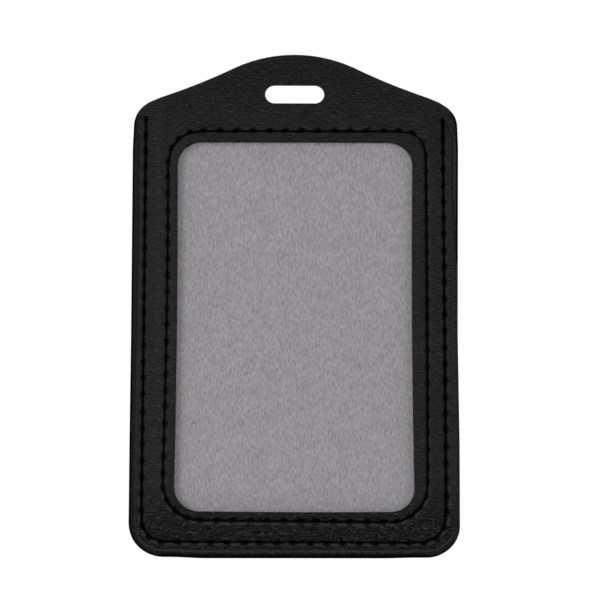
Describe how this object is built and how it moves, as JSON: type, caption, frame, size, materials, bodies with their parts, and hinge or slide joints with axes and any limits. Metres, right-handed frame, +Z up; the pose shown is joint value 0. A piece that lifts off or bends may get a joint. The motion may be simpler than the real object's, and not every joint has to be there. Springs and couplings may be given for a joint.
{
  "type": "id badge wallet",
  "caption": "Upright leather-grain badge wallet: framed clear window, lined card pocket open at the arched top, lanyard slot.",
  "frame": {"origin": "centre of the lanyard slot, halfway through the wallet's thickness", "axes": "+Z up as it hangs, +Y from the window face to the back face, +X to the right seen from the front"},
  "size_m": [0.075, 0.0042, 0.1153],
  "materials": {
    "front_leather": "satin, fine pebble grain",
    "back_leather": "satin, fine pebble grain",
    "lining": "brushed nap",
    "back_lining": "brushed nap",
    "board": "matte",
    "film": "clear soft plastic film",
    "thread": "twisted filament"
  },
  "bodies": {
    "wallet": {"front_cover": "front_leather", "front_lining": "lining", "window_film": "film", "window_seam_top_thread": "thread", "window_seam_bobbin_thread": "thread", "back_cover": "back_leather", "back_board": "board", "back_lining": "back_lining", "side_seam_top_thread": "thread", "side_seam_bobbin_thread": "thread"},
    "mouth_tab": {"front_tab": "front_leather", "front_tab_lining": "lining"}
  },
  "joints": [
    {"name": "mouth_open", "type": "hinge", "parent": "wallet", "child": "mouth_tab", "pos_m": [0, -0.00205, -0.0045], "axis": [1, 0, 0], "range_deg": [0, 35], "stiffness_Nm_per_rad": 0.03}
  ]
}
